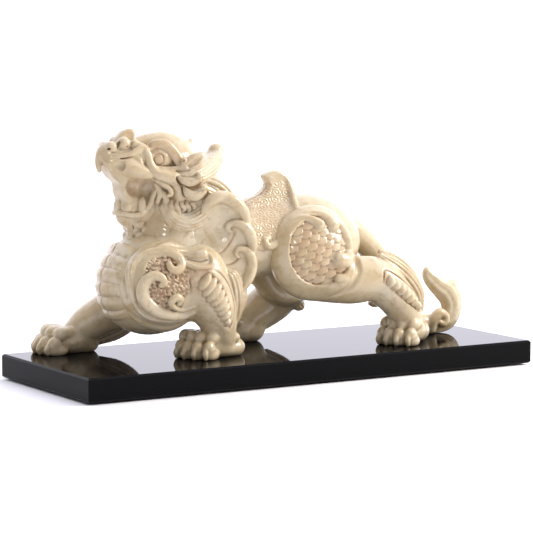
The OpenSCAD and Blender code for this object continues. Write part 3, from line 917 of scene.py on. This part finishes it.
def plug(tree, node, **inputs):
    """Feeds a node's sockets, given by name or as i and a number, with values or other nodes' outputs."""
    for key, value in inputs.items():
        socket = node.inputs[int(key[1:]) if key[1:].isdigit() else key.replace("_", " ")]
        if isinstance(value, bpy.types.NodeSocket):
            tree.links.new(value, socket)
        else:
            socket.default_value = value


def add_node(tree, kind, settings=(), **inputs):
    """A new node of that kind. settings are its own properties, and inputs go to its sockets."""
    node = tree.nodes.new(kind)
    for key, value in dict(settings).items():
        setattr(node, key, value)
    plug(tree, node, **inputs)
    return node


def mix_colour(tree, share, first, second):
    """The first colour where share is 0, the second where it is 1."""
    node = add_node(tree, "ShaderNodeMix", {"data_type": "RGBA"}, i0=share, i6=first, i7=second)
    return node.outputs[2]


def noise(tree, scale, detail=4, distortion=0.0):
    """Cloudy noise from 0 to 1 that is fixed to the piece, with scale clouds to the metre."""
    place = add_node(tree, "ShaderNodeTexCoord").outputs["Object"]
    return add_node(tree, "ShaderNodeTexNoise", Vector=place, Scale=scale, Detail=detail,
                    Roughness=0.55, Distortion=distortion).outputs["Fac"]


def levels(tree, value, low, high, first=0.0, last=1.0, curve="SMOOTHSTEP"):
    """The value's range from low to high, spread from first to last."""
    return add_node(tree, "ShaderNodeMapRange", {"interpolation_type": curve}, Value=value,
                    i1=low, i2=high, i3=first, i4=last).outputs["Result"]


def maths(tree, operation, *values):
    """What a Math node makes of its two or three values."""
    inputs = {f"i{number}": value for number, value in enumerate(values)}
    return add_node(tree, "ShaderNodeMath", {"operation": operation}, **inputs).outputs[0]


def build_stone(tree, shader):
    """Waxed cream stone with honey clouds, a rosy ground in the carved fields, and umber in the hollows
    that is partly brown wash, partly painted shade.
    """
    ivory, honey, pale = (0.55, 0.445, 0.28, 1), (0.47, 0.34, 0.18, 1), (0.64, 0.56, 0.41, 1)
    # the umber darkens the hollows: partly the stone's brown wash, partly painted shade
    brown_and_shade_umber, rose, mottle = (0.12, 0.06, 0.025, 1), (0.40, 0.235, 0.13, 1), (0.48, 0.375, 0.225, 1)
    tint = add_node(tree, "ShaderNodeAttribute", {"attribute_name": "tint"}).outputs["Fac"]
    wash_and_shade = add_node(tree, "ShaderNodeAttribute", {"attribute_name": "wash_and_shade"}).outputs["Fac"]
    clouds = levels(tree, noise(tree, 22), 0.40, 0.75)
    veins = levels(tree, noise(tree, 48, detail=6, distortion=0.8), 0.48, 0.80)
    specks = levels(tree, noise(tree, 190, detail=6), 0.48, 0.72)
    patches = levels(tree, noise(tree, 90, detail=5), 0.25, 0.65)
    stained = maths(tree, "MULTIPLY", maths(tree, "MULTIPLY", tint, patches), 0.85)
    # the umber's share follows the hollow measure, stronger where stained: partly brown wash, partly
    # painted shade
    brown_and_shade_share = maths(tree, "MULTIPLY", maths(tree, "MULTIPLY_ADD", tint, 0.5, 0.5), wash_and_shade)
    colour = mix_colour(tree, clouds, ivory, pale)
    for share, layer in ((veins, honey), (specks, mottle), (stained, rose), (brown_and_shade_share, brown_and_shade_umber)):
        colour = mix_colour(tree, share, colour, layer)
    polish = levels(tree, noise(tree, 300, detail=3), 0.3, 0.7, 0.11, 0.20, "LINEAR")
    bump = add_node(tree, "ShaderNodeBump", Strength=0.12, Distance=0.0006, Height=noise(tree, 420))
    plug(tree, shader, Base_Color=colour, Roughness=maths(tree, "MULTIPLY_ADD", wash_and_shade, 0.25, polish),
         Normal=bump.outputs[0], Subsurface_Weight=0.12, Subsurface_Radius=(0.006, 0.004, 0.0025),
         Subsurface_Scale=1.0, IOR=1.58)


def build_granite(tree, shader):
    """Mirror-polished black granite with fine dark grey grains."""
    grains = levels(tree, noise(tree, 900, detail=2), 0.62, 0.72)
    colour = mix_colour(tree, grains, (0.003, 0.003, 0.0035, 1), (0.010, 0.010, 0.012, 1))
    polish = levels(tree, noise(tree, 35, detail=3), 0.35, 0.65, 0.025, 0.05, "LINEAR")
    plug(tree, shader, Base_Color=colour, Roughness=polish, IOR=1.15)


def build_felt(tree, shader):
    """Dense black felt with short fibres."""
    fibres = noise(tree, 1800, detail=6, distortion=1.5)
    colour = mix_colour(tree, fibres, (0.012, 0.012, 0.014, 1), (0.06, 0.06, 0.065, 1))
    bump = add_node(tree, "ShaderNodeBump", Strength=0.8, Distance=0.0004, Height=fibres)
    plug(tree, shader, Base_Color=colour, Normal=bump.outputs[0], Roughness=0.95, Sheen_Weight=0.4)


def build_paper(tree, shader):
    """Matt white background paper."""
    colour = mix_colour(tree, noise(tree, 6), (0.86, 0.86, 0.87, 1), (0.90, 0.90, 0.90, 1))
    plug(tree, shader, Base_Color=colour, Roughness=0.8)


def metal(colour, worn, smoothest, roughest):
    """A build function for metal with worn patches and a roughness between two values."""
    def build(tree, shader):
        base = mix_colour(tree, levels(tree, noise(tree, 400), 0.4, 0.7), colour, worn)
        rough = levels(tree, noise(tree, 700), 0.3, 0.7, smoothest, roughest, "LINEAR")
        plug(tree, shader, Base_Color=base, Roughness=rough, Metallic=1.0)
    return build


CAD_FINISHES = {
    "base_slab": ("polished_granite", build_granite),
    "felt_foot": ("felt", build_felt),
    "fixing_screw": ("screw_steel", metal((0.62, 0.63, 0.65, 1), (0.48, 0.49, 0.52, 1), 0.25, 0.4)),
    "washer": ("washer_steel", metal((0.66, 0.67, 0.69, 1), (0.50, 0.51, 0.54, 1), 0.3, 0.45)),
    "threaded_insert": ("insert_brass", metal((0.78, 0.58, 0.26, 1), (0.62, 0.44, 0.20, 1), 0.25, 0.4)),
    "dowel": ("dowel_steel", metal((0.66, 0.67, 0.69, 1), (0.58, 0.59, 0.61, 1), 0.18, 0.28)),
}


def finish_cad_parts():
    """Gives the slab, the feet and the hardware their materials, by how their names start."""
    for name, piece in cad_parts.items():
        for start, (label, build) in CAD_FINISHES.items():
            if name.startswith(start):
                piece.data.materials.clear()
                piece.data.materials.append(node_material(label, build))


# ---------- camera, light and floor

def add_camera():
    """A long lens from the head's side, a little above the slab."""
    azimuth, elevation = math.radians(-30.9), math.radians(6.17)
    distance = 4.875 * (slab_high.x - slab_low.x)
    target = ground + Vector((-0.005, 0, 0.0692))
    back = Vector((math.sin(azimuth) * math.cos(elevation), -math.cos(azimuth) * math.cos(elevation),
                   math.sin(elevation)))
    data = bpy.data.cameras.new("camera")
    data.lens = 166.8
    data.sensor_width = 36.0
    camera = bpy.data.objects.new("camera", data)
    camera.location = target + back * distance
    camera.rotation_euler = (-back).to_track_quat("-Z", "Y").to_euler()
    bpy.context.collection.objects.link(camera)
    bpy.context.scene.camera = camera


def add_lamp(name, place, size, power, colour):
    """A square soft lamp, size metres across, turned towards the beast's middle."""
    data = bpy.data.lights.new(name, "AREA")
    data.size = size
    data.energy = power
    data.color = colour
    lamp = bpy.data.objects.new(name, data)
    lamp.location = place
    middle = ground + Vector((0, 0, 0.08))
    lamp.rotation_euler = (middle - lamp.location).to_track_quat("-Z", "Y").to_euler()
    bpy.context.collection.objects.link(lamp)


def add_floor():
    """A white paper floor, turned up into a low wall far off on the head's side."""
    half, wall = 9, 1.3
    corners = [(-half, -half, 0), (half, -half, 0), (half, half, 0), (-half, half, 0),
               (-half, half, wall), (-half, -half, wall)]
    mesh = bpy.data.meshes.new("floor")
    mesh.from_pydata(corners, [], [(0, 1, 2, 3), (0, 3, 4, 5)])
    mesh.materials.append(node_material("floor_paper", build_paper))
    floor = bpy.data.objects.new("floor", mesh)
    bpy.context.collection.objects.link(floor)


def add_studio():
    """A bright surround behind the tail that dims towards the head, two soft lamps and the floor."""
    world = bpy.data.worlds.new("studio")
    bpy.context.scene.world = world
    bpy.context.scene.view_settings.view_transform = "Standard"
    world.use_nodes = True
    tree = world.node_tree
    bright_side = (0.66, 0.62, 0.34)
    dim, bright = (0.15, 0.15, 0.16, 1), (1.95, 1.93, 2.14, 1)
    place = add_node(tree, "ShaderNodeTexCoord").outputs["Generated"]
    away = add_node(tree, "ShaderNodeVectorMath", {"operation": "DOT_PRODUCT"}, i0=place, i1=bright_side)
    share = levels(tree, away.outputs["Value"], -0.5, 0.5)
    plug(tree, tree.nodes["Background"], Color=mix_colour(tree, share, dim, bright))
    add_lamp("key", (0.95, -0.55, 0.72), 0.42, 13.5, (1.0, 0.93, 0.80))
    add_lamp("front", (-0.7, -1.5, 1.0), 0.15, 3.6, (1.0, 0.97, 0.92))
    add_floor()


# ---------- scene

add_camera()
add_studio()
finish_cad_parts()
carve_torso()
carve_forelegs()
carve_hind_legs()
carve_wing("left_wing")
carve_wing("right_wing")
carve_crest()
carve_tail()
carve_head()
carve_jaw()
